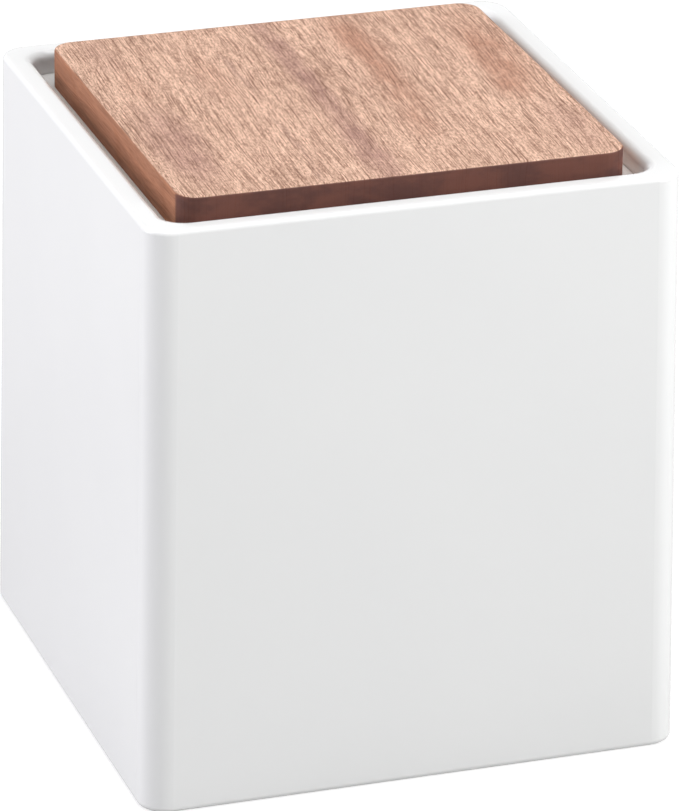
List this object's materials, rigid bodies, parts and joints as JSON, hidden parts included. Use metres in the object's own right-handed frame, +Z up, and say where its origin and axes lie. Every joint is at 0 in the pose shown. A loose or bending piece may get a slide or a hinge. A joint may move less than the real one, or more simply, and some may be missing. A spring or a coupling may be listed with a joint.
{
  "type": "ceramic storage box",
  "caption": "Square white glazed ceramic storage box with rounded upright corners and a flat wooden lid that pushes down inside its rim on a silicone seal.",
  "frame": {"origin": "middle of the foot, on the surface that the box stands on", "axes": "+Z up, out of the mouth; -Y is the front"},
  "size_m": [0.1236, 0.1236, 0.1378],
  "materials": {
    "white_glaze": "gloss",
    "lid_wood": "oiled satin",
    "seal_silicone": "satin"
  },
  "bodies": {
    "box": {"ceramic_box": "white_glaze"},
    "lid": {"wooden_lid": "lid_wood", "lid_seal": "seal_silicone"}
  },
  "joints": [
    {"name": "lid_lift", "type": "slide", "parent": "box", "child": "lid", "axis": [0, 0, 1], "range_m": [0, 0.08]}
  ]
}
